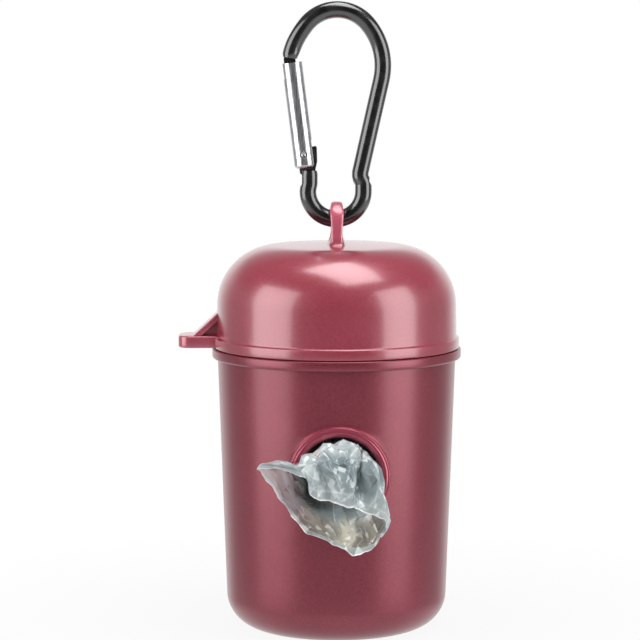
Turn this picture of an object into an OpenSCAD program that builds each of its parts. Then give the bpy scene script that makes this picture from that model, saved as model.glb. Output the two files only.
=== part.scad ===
// Pocket dispenser for a roll of waste bags, with a lift-off lid and a carabiner.
// It stands on its foot: +Z is up, the bag outlet faces -Y, the thumb tab points to -X.

/* [Container] */
// Outer diameter of the wall just under the rim
body_top_d = 44.7; // [40:0.1:60]
// Height of the container up to the top of its rim
body_h = 52.8; // [46:0.1:70]
// Slope of the wall from upright, in degrees
body_draft = 2.05; // [0.5:0.05:3]
// Radius of the rounded foot
foot_round = 6.5; // [4:0.1:9]
// Thickness of the container's wall
wall_t = 1.8; // [1.2:0.1:2.5]
// Thickness of the floor
floor_t = 1.8; // [1.4:0.1:3]
// Height of the rim flange
rim_t = 1.75; // [1.2:0.05:3]
// How far the rim flange stands out past the lid's skirt
rim_over = 0.35; // [0.1:0.05:1]
// Thickness of the neck that the lid is pressed on
neck_t = 0.8; // [0.6:0.05:1.2]
// Height of the neck above the rim
neck_h = 4.6; // [3:0.1:7]
// Height of the snap bead around the neck
bead_t = 0.06; // [0.02:0.01:0.1]

/* [Bag outlet] */
// Diameter of the opening that the bags are pulled through
outlet_d = 14.6; // [10:0.1:18]
// Height of the outlet's axis above the foot
outlet_z = 31.6; // [26:0.1:36]
// Width of the lip around the outlet
lip_w = 1.95; // [1.4:0.05:3]
// How far the lip stands out from the wall, at its middle
lip_proud = 0.8; // [0.4:0.05:1.5]
// Rounding of the lip's outer edge
lip_outer_round = 0.4; // [0.2:0.05:0.7]
// Rounding of the lip's inner edge
lip_inner_round = 0.9; // [0.3:0.05:1.1]

/* [Lid] */
// Height of the lid from the parting line to the crown
lid_h = 19.4; // [17:0.1:30]
// Thickness of the lid's wall
lid_wall = 1.1; // [0.8:0.05:1.8]
// Slope of the lid's wall from upright, in degrees
lid_draft = 1.3; // [0.5:0.05:3]
// Radius of the lid's rounded shoulder
shoulder_r = 11.2; // [6:0.1:13]
// Radius of the crown's gentle dome
crown_r = 260; // [150:5:500]
// Height of the thicker skirt at the lid's lower edge
skirt_h = 2.1; // [1.5:0.05:3]
// How far the skirt stands out from the lid's wall
skirt_over = 0.45; // [0.2:0.05:1]
// Gap between the skirt and the rim at the parting line
part_gap = 0.2; // [0.05:0.05:0.5]
// Gap between the neck and the lid's inner wall
neck_gap = 0.12; // [0.1:0.01:0.3]
// Rounding of the skirt's and the rim's outer edges
edge_round = 0.45; // [0.2:0.05:0.7]

/* [Thumb tab] */
// How far the tab reaches out past the rim
tab_l = 6.3; // [4:0.1:10]
// Width of the tab
tab_w = 7.4; // [5:0.1:12]
// Thickness of the tab
tab_t = 2.25; // [1.5:0.05:3]
// Radius of the tab's outer corners
tab_corner_r = 2.2; // [1:0.1:2.4]
// How far the brace's foot lies inside the tab's end
brace_inset = 2.6; // [2:0.1:4]
// Height of the brace above the tab
brace_h = 3.8; // [2:0.1:5]
// Thickness of the brace's sloping plate
brace_t = 1.15; // [0.8:0.05:1.6]
// Width of the brace's sloping plate
brace_w = 5.8; // [3:0.1:7]
// Thickness of the web under the sloping plate
web_t = 1.8; // [1:0.1:3]

/* [Hanging eye] */
// Width of the eye's strap, along X
eye_w = 2.5; // [1.8:0.1:3]
// Thickness of the eye's strap
eye_t = 1.3; // [1:0.05:2.2]
// Width of the eye's opening, along Y
eye_open_w = 5.2; // [4.4:0.1:7]
// Height of the eye's opening
eye_open_h = 6.2; // [5.6:0.1:9]
// How far the eye's opening starts above the crown
eye_sill = 0.4; // [0.1:0.05:1]

/* [Carabiner] */
// Diameter of the carabiner's rod
rod_d = 3.16; // [2.6:0.02:3.6]
// Height of the carabiner, over all
biner_h = 42.1; // [38:0.1:55]
// Radius of the bend at the top, at the rod's middle
top_bend_r = 7.4; // [6:0.1:8.3]
// Radius of the shoulders beside the top bend
side_bend_r = 12; // [10:0.5:16]
// Half the width of the carabiner, at the rod's middle
biner_half_w = 8.5; // [7.6:0.1:9.4]
// Radius of the small bend that holds the eye, at the rod's middle
low_bend_r = 5.19; // [4.6:0.01:6]
// Depth of the nose's end below the top of the carabiner
nose_drop = 10.5; // [9:0.1:14]
// Gap between the rod and the eye that it hangs in
eye_play = 0.1; // [0.05:0.01:0.4]

/* [Gate] */
// Diameter of the gate
gate_d = 3.4; // [3:0.05:4]
// Length of the gate below its rivet
gate_tail = 2.6; // [2.2:0.05:3]
// Gap between the gate's end and the nose that it closes on
nose_gap = 1.1; // [0.6:0.05:1.6]
// Diameter of the bore that holds the spring
gate_bore_d = 2.4; // [1.8:0.05:2.6]
// Depth of that bore above the rivet
gate_bore_l = 11; // [8:0.1:13]
// Diameter of the rivet
rivet_d = 1.2; // [1:0.05:1.4]
// How far each rivet head stands out of the gate
rivet_head = 0.15; // [0.05:0.05:0.3]
// Thickness of the flattened nose and hinge tongue
tongue_t = 1.2; // [1:0.05:1.4]
// Gap on each side of a tongue in its slot
tongue_gap = 0.1; // [0.05:0.01:0.2]
// Wire diameter of the spring
spring_wire = 0.3; // [0.2:0.01:0.4]
// Number of turns of the spring
spring_turns = 9; // [6:1:12]
// Length of the plunger between the tongue and the spring
plunger_l = 3; // [2:0.1:4]

/* [Bags] */
// Diameter of the roll of bags
roll_d = 31; // [26:0.5:32]
// Height of the roll of bags
roll_h = 60; // [50:0.5:62]
// Inner diameter of the card core
core_d = 11; // [8:0.5:14]
// Thickness of the card core
core_t = 1; // [0.5:0.1:1.5]
// Gap between the roll and what it stands on
roll_gap = 0.3; // [0.2:0.05:0.5]
// Gap around the bunched bag in the outlet
tail_gap = 0.5; // [0.3:0.05:1]

/* [Hidden] */
$fn = 96;
eps = 0.02;
crown_steps = 8;
plastic = "#8f4650";
black = "#1b1b1c";
bare = "#c9ccce";
film = "#b9c2c0";

// Container
body_top_r = body_top_d / 2;
rim_z = body_h - rim_t;
body_in_r = body_top_r - wall_t / cos(body_draft);
neck_r = body_in_r + neck_t;
lid_in_r = neck_r + neck_gap;
lid_r = lid_in_r + lid_wall;
skirt_r = lid_r + skirt_over;
rim_r = skirt_r + rim_over;
neck_top = body_h + neck_h;
bead_z = body_h + neck_h / 2;
bead_half_h = 0.5;
lip_root = 2;
lip_back = wall_r(outlet_z) - wall_t - lip_root;
lip_face = wall_r(outlet_z) + lip_proud;
lip_step = 15;

// Lid
lid_z = body_h + part_gap;
skirt_top = lid_z + skirt_h;
crown_z = lid_z + lid_h;
tab_lift = 0.1;
tab_bite = 2;
tab_root = lid_in_r - tab_bite;
brace_over = 0.35;

// Eye and carabiner
eye_bottom = crown_z + eye_sill;
eye_top = eye_bottom + eye_open_h;
rod_r = rod_d / 2;
low_x = -0.18;
low_in_r = low_bend_r - rod_r;
strap_rise = low_in_r - sqrt(pow(low_in_r, 2) - pow(eye_w / 2 - low_x, 2));
rod_z = eye_top - eye_play - strap_rise - rod_r;
biner_top = rod_z - rod_r + biner_h;
low = [low_x, rod_z + low_bend_r];
top = [0.1, biner_top - rod_r - top_bend_r];
side_angle = asin((side_bend_r - biner_half_w) / (side_bend_r - top_bend_r));
side_x = (side_bend_r - top_bend_r) * sin(side_angle);
side_z = (side_bend_r - top_bend_r) * cos(side_angle);
left = top + [side_x, -side_z];
right = top - [side_x, side_z];
bend_step = 6;
rod_sides = 20;

// Step in the leg, above the small bend; the leg then runs straight up to the shoulder
step_up = 1.6;
step_in = 0.6;
step_h = 1.3;
step_ease = 0.6;
step_low = low + [low_bend_r, step_up];
step_high = step_low + [-step_in, step_h];
leg_lean = asin(side_bend_r / norm(right - step_high))
  - atan((step_high[0] - right[0]) / (right[1] - step_high[1]));

// Gate: it turns on the rivet beside the neck and closes on the nose
neck_in = 0.27;
rivet_out = 1.1;
rivet_up = 6.9;
rivet_play = 0.05;
bench_gap = 0.4;
neck_x = low[0] - low_bend_r + neck_in;
rivet = [neck_x - rivet_out, low[1] + rivet_up];
bench_z = rivet[1] - gate_tail - bench_gap;
nose_z = biner_top - nose_drop;
nose_a = 180 - asin((nose_z - left[1]) / side_bend_r);
nose = left + side_bend_r * [cos(nose_a), sin(nose_a)];
gate_over = 0.15;
gate_lean = atan((rivet[0] - nose[0] + gate_over) / (nose[1] - rivet[1]));
gate_l = (nose[1] - rivet[1] + gate_d / 2 * sin(gate_lean)) / cos(gate_lean) - nose_gap;
tail_round = 0.7;

// Tongues and slots, in the gate's own frame
slot_t = tongue_t + 2 * tongue_gap;
hinge_wall = 0.45;
hinge_slot_h = 2.6;
tongue_r = 1.1;
tongue_reach = 2.65;
tongue_corner = 0.5;
tongue_foot = 1;
nose_wall = 0.85;
nose_reach = 2.6;
nose_floor = 0.4;
nose_out = 1.5;
nose_root = 0.6;
relief_lean = 28;
relief_cut = 0.55;
relief_h = 4;
contact_gap = 0.05;
coil_sides = 6;
coil_steps = 10;

// Bags
core_r = core_d / 2 + core_t;
roll_z = floor_t + roll_gap;
tail_soft = 0.8;
tail_bulb = [
  [-5, -1.4, 3.5], [-0.6, -1.4, 6.6], [4.6, -1.4, 5], [7, -1.4, 0], [7.8, -2, -5],
  [-5.6, -1.4, -4.5], [-2.4, -6.5, 2], [3.4, -6.5, 1.5], [3.4, -5, -7]
];
tail_flap = [[-14, -1.6, 2.6], [-6.6, -1.6, 2.6], [-6.6, -1.6, -4], [-10.6, -3.4, -1.4], [-7.8, -4.6, -7]];
tail_mouth = [
  [-7.8, -4.6, -7], [-5.6, -2, -4], [2.7, -5.6, -11.9], [6.4, -4.4, -9.6],
  [7.8, -2.2, -5], [1.4, -7, -3], [-3.6, -6.6, -5]
];

// Radius of the container's outer wall at height z
function wall_r(z) = body_top_r - (rim_z - z) * tan(body_draft);

// Radius of the lid's outer wall at height z
function lid_wall_r(z) = lid_r - (z - skirt_top) * tan(lid_draft);

// Points along an arc in a plane, from angle a0 to a1
function arc_points(centre, r, a0, a1, step = bend_step) = let (n = max(2, ceil(abs(a1 - a0) / step)))
  [for (i = [0:n]) centre + r * [cos(a0 + (a1 - a0) * i / n), sin(a0 + (a1 - a0) * i / n)]];

// Half section of a cup with a sloping wall and a rounded foot; inset moves every face inwards
module cup_half(inset, bottom, top) {
  round = foot_round - inset;
  mid = bottom + round;
  centre = wall_r(mid) - (inset + round) / cos(body_draft);
  polygon([
    [0, bottom],
    [centre, bottom],
    [centre + round * cos(body_draft), mid - round * sin(body_draft)],
    [wall_r(top) - inset / cos(body_draft), top],
    [0, top]
  ]);
  translate([centre, mid]) circle(round);
}

// Half section of a bar with rounded outer corners
module rounded_bar(r_in, r_out, z0, z1, round) {
  translate([r_in, z0]) square([r_out - round - r_in, z1 - z0]);
  translate([r_in, z0 + round]) square([r_out - r_in, z1 - z0 - 2 * round]);
  for (z = [z0 + round, z1 - round])
    translate([r_out - round, z]) circle(round);
}

// Half section of the dome; inset moves every face inwards
module dome_half(inset, bottom) {
  round = shoulder_r - inset;
  big = crown_r - inset;
  guess = crown_z - shoulder_r;
  centre = lid_wall_r(guess) - shoulder_r / cos(lid_draft);
  big_z = crown_z - crown_r;
  mid = big_z + sqrt(pow(crown_r - shoulder_r, 2) - centre * centre);
  tilt = asin(centre / (crown_r - shoulder_r));
  polygon(concat(
    [[0, bottom], [lid_wall_r(bottom) - inset / cos(lid_draft), bottom]],
    arc_points([centre, mid], round, lid_draft, 90 - tilt),
    [for (a = [tilt * (1 - 1 / crown_steps):-tilt / crown_steps:-eps]) [big * sin(a), big_z + big * cos(a)]]
  ));
}

// Disc round the outlet with a rounded edge, drawn about the outlet's own axis
module outlet_collar() {
  r1 = outlet_d / 2 + lip_w;
  round = lip_outer_round;
  polygon(concat(
    [[0, lip_back], [r1, lip_back]],
    arc_points([r1 - round, lip_face - round], round, 0, 90, lip_step),
    [[0, lip_face]]
  ));
}

// What is cut for the outlet: its bore, with a flare that rounds the lip's inner edge
module outlet_bore() {
  r0 = outlet_d / 2;
  round = lip_inner_round;
  polygon(concat(
    [[0, 0], [r0, 0]],
    arc_points([r0 + round, lip_face - round], round, 180, 90, lip_step),
    [[r0 + round, lip_face + round], [0, lip_face + round]]
  ));
}

// The outlet's own frame: origin on the container's axis, +Z out through the outlet
module at_outlet() {
  translate([0, 0, outlet_z]) rotate([90, 0, 0]) children();
}

module container() color(plastic) {
  difference() {
    union() {
      rotate_extrude() cup_half(0, 0, rim_z + eps);
      rotate_extrude() {
        rounded_bar(body_in_r - eps, rim_r, rim_z, body_h, edge_round);
        translate([body_in_r - eps, body_h - eps]) square([neck_t + eps, neck_h + eps]);
        translate([neck_r - bead_half_h + bead_t, bead_z]) circle(bead_half_h);
      }
      at_outlet() rotate_extrude() outlet_collar();
    }
    rotate_extrude() cup_half(wall_t, floor_t, rim_z);
    translate([0, 0, rim_z - eps]) cylinder(r = body_in_r, h = neck_top);
    at_outlet() rotate_extrude() outlet_bore();
  }
}

// Arch that stands on the crown, in the YZ plane
module hanging_eye() {
  half = eye_open_w / 2;
  rotate([90, 0, 90]) linear_extrude(eye_w, center = true)
    difference() {
      union() {
        translate([0, eye_top - half]) circle(half + eye_t);
        translate([-half - eye_t, crown_z - lid_wall / 2])
          square([2 * (half + eye_t), eye_top - half - crown_z + lid_wall / 2]);
      }
      translate([0, eye_top - half]) circle(half);
      translate([0, eye_bottom + half]) circle(half);
      translate([-half, eye_bottom + half]) square([2 * half, eye_open_h - 2 * half]);
    }
}

// Side outline of the tab's brace: it rises from the foot to a corner just outside the lid's wall
module brace_outline(foot, corner, base) {
  high = base + brace_h;
  polygon([[-foot, base], [-corner, high], [-tab_root, high - corner + tab_root], [-tab_root, base]]);
}

// Flat tab at the skirt, with a sloping plate and a web that brace it against the lid's wall
module thumb_tab() {
  end = rim_r + tab_l;
  foot = end - brace_inset;
  tab_top = lid_z + tab_lift + tab_t;
  corner = lid_wall_r(tab_top + brace_h) + brace_over;
  slope = atan(brace_h / (foot - corner));
  translate([0, 0, tab_top - tab_t]) linear_extrude(tab_t) {
    translate([-end + tab_corner_r, -tab_w / 2]) square([end - tab_corner_r - tab_root, tab_w]);
    translate([-end, -tab_w / 2 + tab_corner_r]) square([tab_corner_r + eps, tab_w - 2 * tab_corner_r]);
    for (y = [-1, 1])
      translate([-end + tab_corner_r, y * (tab_w / 2 - tab_corner_r)]) circle(tab_corner_r);
  }
  rotate([90, 0, 0]) {
    linear_extrude(brace_w, center = true) intersection() {
      brace_outline(foot, corner, tab_top - eps);
      translate([-foot, tab_top - eps]) rotate(slope) translate([-eps, -brace_t]) square([end, brace_t + eps]);
    }
    linear_extrude(web_t, center = true) brace_outline(foot, corner, tab_top - eps);
  }
}

module lid() color(plastic) {
  difference() {
    union() {
      // turned so that the seam of the revolved shell lies at the tab
      rotate(180) rotate_extrude() {
        dome_half(0, skirt_top - edge_round);
        rounded_bar(0, skirt_r, lid_z, skirt_top, edge_round);
      }
      thumb_tab();
      hanging_eye();
    }
    rotate_extrude() dome_half(lid_wall, neck_top);
    translate([0, 0, lid_z - eps]) cylinder(r = lid_in_r, h = neck_top + neck_gap - lid_z + 2 * eps);
  }
}

// Direction of a path of points at point i
function heading(path, i) = let (
  d = path[min(i + 1, len(path) - 1)] - path[max(i - 1, 0)]
) d / norm(d);

// Round rod swept along points in the XZ plane
module bent_rod(path) {
  n = len(path);
  points = [for (i = [0:n - 1], k = [0:rod_sides - 1])
    let (t = heading(path, i), a = 360 * k / rod_sides, out = rod_r * cos(a) * [-t[1], t[0]])
    [path[i][0] + out[0], rod_r * sin(a), path[i][1] + out[1]]];
  sides = [for (i = [0:n - 2], k = [0:rod_sides - 1])
    let (a = i * rod_sides + k, b = i * rod_sides + (k + 1) % rod_sides)
    [a, b, b + rod_sides, a + rod_sides]];
  first = [for (k = [rod_sides - 1:-1:0]) k];
  last = [for (k = [0:rod_sides - 1]) (n - 1) * rod_sides + k];
  polyhedron(points, concat(sides, [first, last]), convexity = 10);
}

// Flat end pieces are drawn in the closed gate's own frame: origin at the rivet, +Z along the gate
module in_gate() {
  translate([rivet[0], 0, rivet[1]]) rotate([0, -gate_lean, 0]) children();
}

module carabiner_frame() color(black) {
  arc_end = 90 - side_angle;
  difference() {
    union() {
      bent_rod(concat(
        arc_points(left, side_bend_r, nose_a, 180 - arc_end),
        arc_points(top, top_bend_r, 180 - arc_end - bend_step, arc_end + bend_step),
        arc_points(right, side_bend_r, arc_end, -leg_lean),
        [step_high + step_ease * [sin(leg_lean), cos(leg_lean)], step_high, step_low],
        arc_points(low, low_bend_r, 0, -180),
        [[neck_x, step_low[1]], [neck_x, bench_z]]
      ));
      hinge_tongue();
      nose_tongue();
    }
    in_gate() rotate([90, 0, 0]) cylinder(r = rivet_d / 2 + rivet_play, h = gate_d, center = true, $fn = 32);
    nose_relief();
  }
}

// A slice is taken off the nose's inner side, so that the gate clears it
module nose_relief() {
  translate([nose[0] + rod_r, 0, nose[1]]) rotate([0, relief_lean, 0])
    translate([-relief_cut, -gate_d, 0]) cube([gate_d, 2 * gate_d, relief_h]);
}

// Flat plate that carries the rivet, and reaches past the gate's inner side
module hinge_tongue() {
  low_end = gate_tail + tongue_foot;
  in_gate() rotate([90, 0, 0]) linear_extrude(tongue_t, center = true) {
    circle(tongue_r, $fn = 48);
    translate([0, -low_end]) square([tongue_reach - tongue_corner, low_end + tongue_r]);
    translate([0, -low_end]) square([tongue_reach, low_end + tongue_r - tongue_corner]);
    translate([tongue_reach - tongue_corner, tongue_r - tongue_corner]) circle(tongue_corner, $fn = 48);
    translate([-tongue_r, -low_end]) square([tongue_r + eps, low_end]);
  }
}

// Flat plate below the nose that closes into the gate's upper slot
module nose_tongue() {
  in_gate() rotate([90, 0, 0]) linear_extrude(tongue_t, center = true)
    translate([-nose_out, gate_l - nose_reach])
      square([gate_d / 2 - nose_wall - tongue_gap + nose_out, nose_reach + nose_gap + nose_root]);
}

module carabiner_gate() color(bare) {
  in_gate() difference() {
    union() {
      translate([0, 0, -gate_tail + tail_round]) cylinder(d = gate_d, h = gate_l + gate_tail - tail_round, $fn = 64);
      rotate_extrude($fn = 64) {
        translate([0, -gate_tail]) square([gate_d / 2 - tail_round, tail_round + eps]);
        intersection() {
          translate([gate_d / 2 - tail_round, -gate_tail + tail_round]) circle(tail_round, $fn = 48);
          translate([0, -gate_tail]) square([gate_d, tail_round]);
        }
      }
    }
    // spring bore
    translate([0, 0, -gate_tail - eps]) cylinder(d = gate_bore_d, h = gate_bore_l + gate_tail, $fn = 48);
    // hinge slot, open below and towards the inside
    translate([-gate_d / 2 + hinge_wall, -slot_t / 2, -gate_tail - eps])
      cube([gate_d, slot_t, gate_tail + hinge_slot_h]);
    // nose slot, open above and towards the outside
    translate([-gate_d, -slot_t / 2, gate_l - nose_reach - nose_floor])
      cube([1.5 * gate_d - nose_wall, slot_t, gate_l]);
    rotate([90, 0, 0]) cylinder(d = rivet_d, h = 2 * gate_d, center = true, $fn = 32);
  }
}

module gate_rivet() color(bare) {
  in_gate() rotate([90, 0, 0]) cylinder(d = rivet_d, h = gate_d + 2 * rivet_head, center = true, $fn = 32);
}

module gate_plunger() color("silver") {
  in_gate() translate([0, 0, tongue_r + contact_gap])
    cylinder(d = gate_bore_d - 2 * tongue_gap, h = plunger_l, $fn = 48);
}

// Points of a ring across the wire, and of the coil that the rings follow
function coil_ring(t, r, z0, h) = let (
  a = 360 * spring_turns * t,
  out = [cos(a), sin(a), 0],
  mid = r * out + [0, 0, z0 + h * t]
) [for (k = [0:coil_sides - 1])
    mid + spring_wire / 2 * (cos(360 * k / coil_sides) * out + [0, 0, sin(360 * k / coil_sides)])];

module gate_spring() color("gray") {
  z0 = tongue_r + contact_gap + plunger_l + spring_wire / 2 + contact_gap;
  h = gate_bore_l - z0 - spring_wire / 2 - contact_gap;
  r = gate_bore_d / 2 - tongue_gap - spring_wire / 2;
  steps = spring_turns * coil_steps;
  points = [for (i = [0:steps]) each coil_ring(i / steps, r, z0, h)];
  sides = [for (i = [0:steps - 1], k = [0:coil_sides - 1])
    let (a = i * coil_sides + k, b = i * coil_sides + (k + 1) % coil_sides)
    [a, b, b + coil_sides, a + coil_sides]];
  first = [for (k = [coil_sides - 1:-1:0]) k];
  last = [for (k = [0:coil_sides - 1]) steps * coil_sides + k];
  in_gate() polyhedron(points, concat(sides, [first, last]), convexity = 10);
}

module roll_core() color("tan") {
  translate([0, 0, roll_z]) difference() {
    cylinder(r = core_r, h = roll_h);
    translate([0, 0, -eps]) cylinder(d = core_d, h = roll_h + 2 * eps);
  }
}

module bag_roll() color(film) {
  translate([0, 0, roll_z]) difference() {
    cylinder(d = roll_d, h = roll_h);
    translate([0, 0, -eps]) cylinder(r = core_r, h = roll_h + 2 * eps);
  }
}

// Soft lump over a few corner points, given from the middle of the lip's face
module lump(points, r) {
  hull()
    for (p = points)
      translate([p[0], p[1] - lip_face, p[2] + outlet_z]) sphere(r, $fn = 20);
}

module bag_tail() color(film) {
  start = roll_d / 2 + roll_gap;
  at_outlet() translate([0, 0, start])
    cylinder(d = outlet_d - 2 * tail_gap, h = lip_face + tail_soft + tail_gap - start);
  lump(tail_bulb, tail_soft);
  lump(tail_flap, tail_soft);
  lump(tail_mouth, tail_soft);
}

container();
lid();
carabiner_frame();
carabiner_gate();
gate_rivet();
gate_plunger();
gate_spring();
roll_core();
bag_roll();
bag_tail();
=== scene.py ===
"""A pocket dispenser for a roll of waste bags, dressed piece by piece over its CAD frame."""
import math

import bmesh
import bpy
import numpy as np
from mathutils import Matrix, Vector


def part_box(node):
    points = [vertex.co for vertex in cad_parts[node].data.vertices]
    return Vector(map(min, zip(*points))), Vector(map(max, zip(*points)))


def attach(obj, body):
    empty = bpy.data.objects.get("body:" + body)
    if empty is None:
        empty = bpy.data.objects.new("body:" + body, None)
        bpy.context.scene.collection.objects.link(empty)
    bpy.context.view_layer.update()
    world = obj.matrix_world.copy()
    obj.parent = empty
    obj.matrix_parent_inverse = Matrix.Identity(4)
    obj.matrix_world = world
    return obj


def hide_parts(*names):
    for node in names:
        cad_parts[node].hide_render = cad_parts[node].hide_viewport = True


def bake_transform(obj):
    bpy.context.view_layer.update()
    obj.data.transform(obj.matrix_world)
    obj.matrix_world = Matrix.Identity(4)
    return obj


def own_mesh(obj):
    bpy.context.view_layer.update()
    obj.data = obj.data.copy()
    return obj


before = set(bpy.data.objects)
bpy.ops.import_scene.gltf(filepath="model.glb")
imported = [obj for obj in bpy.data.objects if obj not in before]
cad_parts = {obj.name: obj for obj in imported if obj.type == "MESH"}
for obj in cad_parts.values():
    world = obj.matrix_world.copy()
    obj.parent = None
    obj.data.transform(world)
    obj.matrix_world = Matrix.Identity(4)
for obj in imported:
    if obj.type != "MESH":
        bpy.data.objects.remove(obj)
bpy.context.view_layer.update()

# ------------------------------------------------------------------ Container
# The cup: one injection moulding in polypropylene with a pearl pigment, satin outside.
# A collar stands round the bag outlet, and above the rim a thin neck with a small snap
# bead takes the lid. Sizes are in millimetres, and angles in degrees.
MM = 0.001  # a millimetre, in Blender's metres
COLUMNS = 120  # facets round a turned piece


class Shell:
    """A mesh in the making: points in millimetres, and faces, added ring by ring."""

    def __init__(self):
        self.points, self.faces = [], []

    def ring(self, points):
        """Adds a ring of points and returns their numbers."""
        first = len(self.points)
        self.points += [tuple(p) for p in points]
        return list(range(first, len(self.points)))

    def bridge(self, a, b, closed=True):
        """Adds a band of faces between two rings."""
        for i in range(len(a) if closed else len(a) - 1):
            j = (i + 1) % len(a)
            self.faces.append((a[i], a[j], b[j], b[i]))

    def cap(self, ring):
        """Closes a ring with a fan of faces."""
        centre = self.ring([np.mean([self.points[i] for i in ring], axis=0)])[0]
        for i, first in enumerate(ring):
            self.faces.append((first, ring[(i + 1) % len(ring)], centre))

    def loft(self, rings, closed=True, caps=False):
        """Adds rings of points and joins each to the next."""
        loops = [self.ring(points) for points in rings]
        for a, b in zip(loops, loops[1:]):
            self.bridge(a, b, closed)
        if caps:
            self.cap(loops[0])
            self.cap(loops[-1])
        return loops

    def piece(self, name, mat, sharp=40):
        """The finished object, shaded round except over edges sharper than this angle."""
        mesh = bpy.data.meshes.new(name)
        mesh.from_pydata([tuple(c * MM for c in p) for p in self.points], [], self.faces)
        work = bmesh.new()
        work.from_mesh(mesh)
        bmesh.ops.remove_doubles(work, verts=work.verts, dist=1e-7)
        bmesh.ops.recalc_face_normals(work, faces=work.faces)
        work.to_mesh(mesh)
        work.free()
        mesh.shade_smooth()
        mesh.set_sharp_from_angle(angle=math.radians(sharp))
        mesh.materials.append(mat)
        return placed(name, mesh)


def placed(name, data):
    """A new object in the scene that holds this mesh, lamp or camera."""
    obj = bpy.data.objects.new(name, data)
    bpy.context.scene.collection.objects.link(obj)
    return obj


def arc(centre, radius, start, end, steps):
    """Points along an arc in a plane, from the start angle to the end angle."""
    turns = [math.radians(start + (end - start) * i / steps) for i in range(steps + 1)]
    return [(centre[0] + radius * math.cos(t), centre[1] + radius * math.sin(t)) for t in turns]


def turned(radius, height):
    """A level ring; its first point faces -Y."""
    turns = [2 * math.pi * j / COLUMNS for j in range(COLUMNS)]
    return [(radius * math.sin(t), -radius * math.cos(t), height) for t in turns]


def solid_box(node):
    """The lowest and highest corners of a CAD node."""
    return [[round(c / MM, 3) for c in corner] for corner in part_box(node)]


DRAFT = 2.05  # the wall leans out, so that the cup leaves its mould
_, (RIM_R, _, NECK_TOP) = solid_box("container")
RIM_Z, BODY_TOP_R, WALL, FOOT_R = 51.05, 22.35, 1.8, 6.5
RIM_TOP, RIM_ROUND = 52.88, 0.25
NECK_R, NECK_WALL, NECK_ROUND, BEAD_Z = 21.349, 0.8, 0.2, 55.1
OUTLET_Z, OUTLET_R = 31.6, 7.3
LIP_R, LIP_FACE, LIP_BEAD, LIP_CURL = 9.25, 22.454, 0.26, 1.15
# round the outlet the wall's grid leaves a square open: so many columns each way, and these rows
PATCH_COLUMNS, PATCH_ROWS = 11, [OUTLET_Z - 12 + 2 * i for i in range(13)]
slope = math.radians(DRAFT)


def wall_r(z, inset=0.0):
    """The wall's radius at a height, measured to a surface that lies so far in from the outside."""
    return BODY_TOP_R - (RIM_Z - z) * math.tan(slope) - inset / math.cos(slope)


def wall_patch(shell, rows, inset, rings):
    """Bridges (height, ring) rows of the wall, and leads the open square in to rings about the outlet.

    Each of the rings is a radius and the share of the way from the square to that radius.
    """

    def nearest(z):
        return min(range(len(rows)), key=lambda i: abs(rows[i][0] - z))

    low, high = nearest(PATCH_ROWS[0]), nearest(PATCH_ROWS[-1])
    for i in range(len(rows) - 1):
        a, b = rows[i][1], rows[i + 1][1]
        for j in range(COLUMNS):
            if low <= i < high and (j < PATCH_COLUMNS or j >= COLUMNS - PATCH_COLUMNS):
                continue
            k = (j + 1) % COLUMNS
            shell.faces.append((a[j], a[k], b[k], b[j]))
    across = [j % COLUMNS for j in range(-PATCH_COLUMNS, PATCH_COLUMNS + 1)]
    square = [rows[low][1][j] for j in across]
    square += [rows[i][1][across[-1]] for i in range(low + 1, high)]
    square += [rows[high][1][j] for j in reversed(across)]
    square += [rows[i][1][across[0]] for i in range(high - 1, low, -1)]
    edge = [(shell.points[i][0], shell.points[i][2] - OUTLET_Z) for i in square]
    angles = [math.atan2(v, u) for u, v in edge]
    previous = square
    for radius, share in rings:
        points = []
        for (u, v), angle in zip(edge, angles):
            x = u + (radius * math.cos(angle) - u) * share
            z = OUTLET_Z + v + (radius * math.sin(angle) - v) * share
            points.append((x, -math.sqrt(wall_r(z, inset) ** 2 - x * x), z))
        ring = shell.ring(points)
        shell.bridge(previous, ring)
        previous = ring
    return previous, angles


cup = Shell()
foot_centre = (wall_r(FOOT_R) - FOOT_R / math.cos(slope), FOOT_R)
floor_centre = (wall_r(FOOT_R, WALL) - (FOOT_R - WALL) / math.cos(slope), FOOT_R)
# the underside has the dimple where the plastic was let into the mould
under = cup.loft([turned(r, z) for r, z in ((0.5, 0.5), (1.6, 0.42), (2.3, 0.08), (2.6, 0), (9, 0))])
cup.cap(under[0])
foot = [cup.ring(turned(r, z)) for r, z in arc(foot_centre, FOOT_R, -90, -DRAFT, 12)]
cup.bridge(under[-1], foot[0])
for a, b in zip(foot, foot[1:]):
    cup.bridge(a, b)
wall_rows = [9.6, 13.0, 16.3] + PATCH_ROWS + [46.1, 48.6, 50.7, RIM_Z]
outer_rows = [(0, foot[-1])] + [(z, cup.ring(turned(wall_r(z), z))) for z in wall_rows]
collar_root, turns = wall_patch(cup, outer_rows, 0, [(LIP_R + 0.3, s) for s in (0.35, 0.65, 0.86, 1)])
rim = [(22.9, RIM_Z)] + arc((RIM_R - 0.45, RIM_Z + 0.45), 0.45, -90, 0, 4)
rim += arc((RIM_R - RIM_ROUND, RIM_TOP - RIM_ROUND), RIM_ROUND, 0, 90, 4)
rim += [(21.6, RIM_TOP), (NECK_R, RIM_TOP + 0.05)]
bead = ((0, -0.4), (0.041, -0.2), (0.06, 0), (0.041, 0.2), (0, 0.4))
neck = [(NECK_R + out, BEAD_Z + up) for out, up in bead]
neck += arc((NECK_R - NECK_ROUND, NECK_TOP - NECK_ROUND), NECK_ROUND, 0, 90, 3)
neck += arc((NECK_R - NECK_WALL + NECK_ROUND, NECK_TOP - NECK_ROUND), NECK_ROUND, 90, 180, 3)
rim_loops = cup.loft([turned(r, z) for r, z in rim + neck])
cup.bridge(outer_rows[-1][1], rim_loops[0])
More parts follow.
